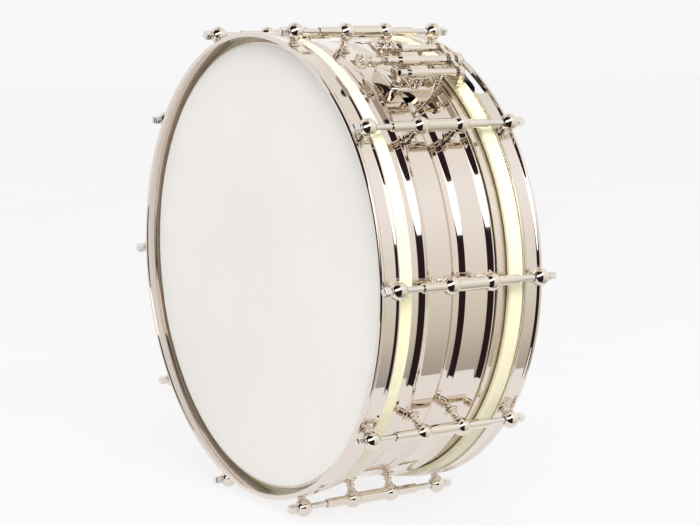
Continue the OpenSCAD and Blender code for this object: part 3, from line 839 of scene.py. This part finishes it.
def knob():
    """Knurled knob with a stepped neck."""
    front, back = KNOB_Y, -26.5
    corners = [
        ((0, front), 0), ((2.4, front), 0.2), ((3, front + 0.5), 0.2), ((4.6, front + 0.5), 0.2),
        ((5.3, front + 0.2), 0.2), ((5.8, front + 0.8), 0.2), ((5.8, front + 5), 0.2),
        ((5.2, front + 5.6), 0.2), ((3.2, front + 6.2), 0.5), ((3, front + 8.4), 0.5),
        ((4.5, front + 9.2), 0.5), ((4.6, front + 10.7), 0.5), ((2.9, front + 11.8), 0.5),
        ((2.9, back), 0.2), ((0, back), 0),
    ]
    outline = profile(corners, guard=FINE_GUARD)
    points, faces = spun(outline, 192, closed=False)
    radius = np.hypot(points[:, 0], points[:, 1])
    turn = np.arctan2(points[:, 1], points[:, 0])
    knurled = (radius > 5.15) & (points[:, 2] < front + 6)
    depth = KNURL_DEPTH * np.clip(np.cos(KNURLS * turn) * 1.6 - 0.4, 0, 1) * knurled
    points[:, :2] *= (1 - depth / np.maximum(radius, 0.1))[:, None]
    placed = at_angle(along_y((points, faces), STR_R), STRAINER_A)
    build("knurled_knob", placed, BRIGHT_NICKEL, "tension_knob", ["tension_knob"])


def capsule(start, end, r0, r1):
    """A tapered rod with round ends between two points."""
    start, end = Vector(start), Vector(end)
    length = (end - start).length
    outline = [(0, -r0)]
    outline += [(r0 * math.cos(t), r0 * math.sin(t)) for t in np.linspace(-1.4, 0, 7)]
    outline += [(r1 * math.cos(t), length + r1 * math.sin(t)) for t in np.linspace(0, 1.4, 7)]
    outline += [(0, length + r1)]
    turn = Vector((0, 0, 1)).rotation_difference(end - start).to_matrix().to_4x4()
    return moved(spun(outline, 28, closed=False), Matrix.Translation(start) @ turn)


def lever():
    """Turned stem with two collars, a hub at its pivot and an oval paddle."""
    hub_outline = rounded([(1.5, -3), (3.8, -3), (3.8, 3), (1.5, 3)], [0.2, 0.5, 0.5, 0.2], steps=4)
    hub = spun(hub_outline, 48)
    stem_corners = [
        ((0, 3.2), 0), ((2.9, 3.2), 0), ((2.9, 4.4), 0.4), ((5.4, 4.7), 0.5), ((6.3, 5.7), 0.7),
        ((5.4, 6.8), 0.5), ((2.7, 7.2), 0.6), ((2.4, 8.9), 0.8), ((2.8, 10.3), 0.5), ((5.6, 10.7), 0.5),
        ((6.5, 11.8), 0.7), ((5.6, 13), 0.5), ((2.8, 13.4), 0.5), ((2.1, 15.2), 0.8), ((1.9, 17.6), 0.3),
        ((0, 17.8), 0),
    ]
    stem_outline = profile(stem_corners, guard=FINE_GUARD)
    stem = moved(spun(stem_outline, 48, closed=False), Matrix.Rotation(math.radians(90), 4, "X"))
    disc_corners = [((0, -1), 0), ((4.9, -1), 0.6), ((5.4, 0), 0.6), ((4.9, 1), 0.6), ((0, 1), 0)]
    disc, disc_faces = spun(profile(disc_corners), 56, closed=False)
    disc[:, 1] += np.sign(disc[:, 1]) * 1.9 * (np.abs(disc[:, 1]) > 1e-6)
    pose = (
        Matrix.Translation((3.6, -26.5, 4))
        @ Matrix.Rotation(math.radians(-8), 4, "Z")
        @ Matrix.Rotation(math.radians(62), 4, "Y")
    )
    paddle = moved((disc, disc_faces), pose)
    neck = capsule((0, -16.4, 0), (3.2, -22.2, 3.6), 2.1, 1.2)
    points, faces = joined(hub, stem, paddle, neck)
    solid = at_angle((points + [STR_R, PIVOT_Y, STR_PITCH], faces), STRAINER_A)
    build("throw_lever", solid, BRIGHT_NICKEL, "lever", ["lever"])


def saddle():
    """Cast saddle with a pillowed edge, hollowed below to sit on the shell."""
    y0, y1, half, top = -17, 24, 16.5, 185.4
    edge, corner, levels = 3.4, 6, 7

    def ring(inset):
        front, back, side = y0 + inset, y1 - inset, half - inset
        return rounded([(front, -side), (back, -side), (back, side), (front, side)], corner, steps=8, guard=0)

    rows = [np.column_stack([np.sqrt((SHELL_R + 0.05) ** 2 - ring(0)[:, 1] ** 2), ring(0)])]
    for turn in np.linspace(0, math.pi / 2, levels):
        flat = ring(edge * (1 - math.cos(turn)))
        rows.append(np.column_stack([np.full(len(flat), top - edge * (1 - math.sin(turn))), flat]))
    count = len(rows[0])
    faces = grid(len(rows), count).tolist() + [list(range((len(rows) - 1) * count, len(rows) * count))]
    centre = len(rows) * count
    faces += [[centre, (k + 1) % count, k] for k in range(count)]
    points = np.vstack(rows + [np.array([[SHELL_R + 0.3, (y0 + y1) / 2, 0]])])
    casting = at_angle((points, faces), STRAINER_A)
    build("strainer_saddle", casting, BRIGHT_NICKEL, "drum", ["strainer_plate"], sharp=50)


def strainer():
    strainer_tubes()
    saddle()
    knob()
    lever()
    refined("strainer_brackets", BRIGHT_NICKEL, "drum", 0.35)
    refined("crossbar", BRIGHT_NICKEL, "carriage", 0.35)
    refined("guide_rods", PLAIN_STEEL, "carriage", 0.2)
    refined("strap_yoke", BRIGHT_NICKEL, "strap_yoke", 0.35)
    refined("yoke_clamp_plate", BRIGHT_NICKEL, "strap_yoke", 0.2)
    refined("yoke_clamp_screws", PLAIN_STEEL, "strap_yoke", 0.12)
    refined("lever_pin", PLAIN_STEEL, "drum", 0.15)
    refined("tension_spindle", PLAIN_STEEL, "tension_knob", 0.2)


def butt():
    refined("butt_plate", BRIGHT_NICKEL, "drum", 1.2, 180, 4)
    refined("butt_clamp_plate", BRIGHT_NICKEL, "drum", 0.3)
    refined("butt_clamp_screws", PLAIN_STEEL, "drum", 0.15)
    refined("snare_end_plates", SNARE_STEEL, "carriage", 0.15)


def inner_hardware():
    """Screws and washers inside the shell."""
    for node in ("lug_screws", "lug_screw_washers", "strainer_mount_screws", "butt_mount_screws"):
        refined(node, PLAIN_STEEL, "drum", 0.12)


# ---------- floor, light and camera ----------


def glossy_only(obj):
    """Seen only in reflections."""
    obj.visible_camera = False
    obj.visible_diffuse = False
    obj.visible_transmission = False
    obj.visible_volume_scatter = False
    obj.visible_shadow = False


def glow(name, colour, strength):
    """A surface that shines evenly, with a faint cloudiness."""
    material = bpy.data.materials.new(name)
    material.use_nodes = True
    tree = material.node_tree
    tree.nodes.remove(tree.nodes["Principled BSDF"])
    emission = tree.nodes.new("ShaderNodeEmission")
    cloud = ranged(tree, noise(tree, 1.5, 2), 0, 1)
    dim = tuple(c * 0.93 for c in colour)
    tree.links.new(mixed(tree, cloud, colour, dim), emission.inputs["Color"])
    emission.inputs["Strength"].default_value = strength
    tree.links.new(emission.outputs[0], tree.nodes["Material Output"].inputs["Surface"])
    return material


def banded_glow(name, bands):
    """A shining surface whose colour changes with elevation, from pairs of degrees and a colour."""
    material = bpy.data.materials.new(name)
    material.use_nodes = True
    tree = material.node_tree
    tree.nodes.remove(tree.nodes["Principled BSDF"])
    where = tree.nodes.new("ShaderNodeTexCoord")
    split = tree.nodes.new("ShaderNodeSeparateXYZ")
    tree.links.new(where.outputs["Object"], split.inputs[0])
    spread = ranged(tree, split.outputs["Z"], 0, 1, AXIS_Z * MM - CARD_R, AXIS_Z * MM + CARD_R)
    ramp = tree.nodes.new("ShaderNodeValToRGB")
    tree.links.new(spread, ramp.inputs["Fac"])
    stops = ramp.color_ramp.elements
    while len(stops) < len(bands):
        stops.new(0.5)
    for stop, (elevation, colour) in zip(stops, bands):
        stop.position = 0.5 + 0.5 * math.sin(math.radians(elevation))
        stop.color = (*(c / BAND_STRENGTH for c in colour), 1)
    emission = tree.nodes.new("ShaderNodeEmission")
    tree.links.new(ramp.outputs["Color"], emission.inputs["Color"])
    emission.inputs["Strength"].default_value = BAND_STRENGTH
    tree.links.new(emission.outputs[0], tree.nodes["Material Output"].inputs["Surface"])
    return material


def card(name, az0, az1, el0, el1, distance, material, lean=0):
    """Part of a sphere around the drum, between two azimuths and two elevations in degrees.

    A card that leans rises with azimuth.
    """
    count = CARD_POINTS
    az = np.radians(np.linspace(az0, az1, count))
    el = np.radians(np.linspace(el0, el1, count))
    e, a = np.meshgrid(el, az, indexing="ij")
    e = e + lean * (a - az[0])
    directions = np.stack([np.cos(e) * np.cos(a), np.cos(e) * np.sin(a), np.sin(e)], axis=2)
    points = directions.reshape(-1, 3) * distance
    points[:, 2] += AXIS_Z * MM
    faces = [
        [r * count + c, r * count + c + 1, (r + 1) * count + c + 1, (r + 1) * count + c]
        for r in range(count - 1)
        for c in range(count - 1)
    ]
    return stage_mesh(name, points, faces, material)


def stage_mesh(name, points, faces, material):
    mesh = bpy.data.meshes.new(name)
    mesh.from_pydata(np.asarray(points).tolist(), [], faces)
    mesh.materials.append(material)
    obj = bpy.data.objects.new(name, mesh)
    bpy.context.scene.collection.objects.link(obj)
    return obj


def floor():
    """Pale floor in two parts that look the same. Polished metal reflects only the part under the drum."""
    paper = floor_paper()
    half = FLOOR_HALF_M
    for name, x0, x1 in (("near_floor", -half, FLOOR_EDGE_X), ("far_floor", FLOOR_EDGE_X, half)):
        corners = [(x0, -half, 0), (x1, -half, 0), (x1, half, 0), (x0, half, 0)]
        part = stage_mesh(name, corners, [[0, 1, 2, 3]], paper)
        part.visible_diffuse = False
        part.visible_glossy = name == "near_floor"


def stage():
    """The floor under an even white surround, with cards that only the polished metal reflects."""
    floor()
    dark = glow("dark_room", (0.027, 0.015, 0.018), 1)
    upper = glow("upper_room", (0.45, 0.37, 0.31), 1)
    bright = glow("soft_box", (1.0, 0.99, 0.97), 1.9)
    side = banded_glow("side_room", SIDE_BANDS)
    for obj in (
        card("dark_wall", -110, 2, -62, 66, CARD_R, dark),
        card("upper_wall", -110, 2, 66, 108, CARD_R, upper),
        card("bright_patch", -74, 16, -2, 22, PATCH_R, bright, 0.33),
        card("side_wall", 2, 150, -62, 60, CARD_R, side),
    ):
        glossy_only(obj)


def lights():
    """One soft key light and an even surround.

    The surround is darker below the horizon, where it stands in for the floor's weak bounce.
    """
    world = bpy.data.worlds.new("studio")
    bpy.context.scene.world = world
    world.use_nodes = True
    tree = world.node_tree
    background = tree.nodes["Background"]
    where = tree.nodes.new("ShaderNodeTexCoord")
    split = tree.nodes.new("ShaderNodeSeparateXYZ")
    tree.links.new(where.outputs["Generated"], split.inputs[0])
    above = ranged(tree, split.outputs["Z"], 0, 1, -0.09, -0.03)
    higher = ranged(tree, split.outputs["Z"], 0, 1, -0.02, 0.16)
    sky = mixed(tree, higher, (0.94, 0.93, 0.935), (0.965, 0.955, 0.96))
    ground = mixed(tree, above, (0.62, 0.61, 0.60), (1, 1, 1))
    product = tree.nodes.new("ShaderNodeMix")
    product.data_type, product.blend_type = "RGBA", "MULTIPLY"
    product.inputs["Factor"].default_value = 1
    tree.links.new(sky, product.inputs["A"])
    tree.links.new(ground, product.inputs["B"])
    tree.links.new(product.outputs["Result"], background.inputs["Color"])
    background.inputs["Strength"].default_value = 1
    lamp = bpy.data.lights.new("key", "AREA")
    lamp.shape, lamp.size, lamp.size_y, lamp.energy = "RECTANGLE", KEY_W, KEY_H, KEY_WATTS
    lamp.color = (1.0, 0.99, 0.97)
    key = bpy.data.objects.new("key", lamp)
    bpy.context.scene.collection.objects.link(key)
    key.location = KEY_AT
    aim = Vector(DRUM_MIDDLE) - key.location
    key.rotation_euler = aim.to_track_quat("-Z", "Y").to_euler()
    key.visible_camera = False
    key.visible_glossy = False


def camera():
    data = bpy.data.cameras.new("camera")
    data.lens, data.sensor_width = LENS_MM, SENSOR_MM
    obj = bpy.data.objects.new("camera", data)
    bpy.context.scene.collection.objects.link(obj)
    forward = Vector(CAMERA_FORWARD).normalized()
    up = Vector(CAMERA_UP)
    up = (up - forward * up.dot(forward)).normalized()
    right = forward.cross(up)
    turn = Matrix((right, up, -forward)).transposed().to_4x4()
    obj.matrix_world = Matrix.Translation(CAMERA_AT) @ turn
    bpy.context.scene.camera = obj


def look():
    scene = bpy.context.scene
    scene.view_settings.view_transform = "Standard"
    scene.view_settings.look = "None"
    scene.cycles.use_denoising = True
    scene.cycles.max_bounces = 10
    scene.cycles.glossy_bounces = 8


shell()
grommet()
head(-1, COATED_FILM, "batter_head")
head(1, CLEAR_FILM, "snare_head")
flesh_hoop(-1, "batter_flesh_hoop")
flesh_hoop(1, "snare_flesh_hoop")
hoops()
ears()
lug_posts()
lug_tubes()
lug_feet()
rods()
snare_wires()
strap(186.35, 42, 49, STRAINER_A, "strainer_strap")
strap(186.05, 30, 43, BUTT_A, "butt_strap")
strainer()
butt()
inner_hardware()
stage()
lights()
camera()
look()
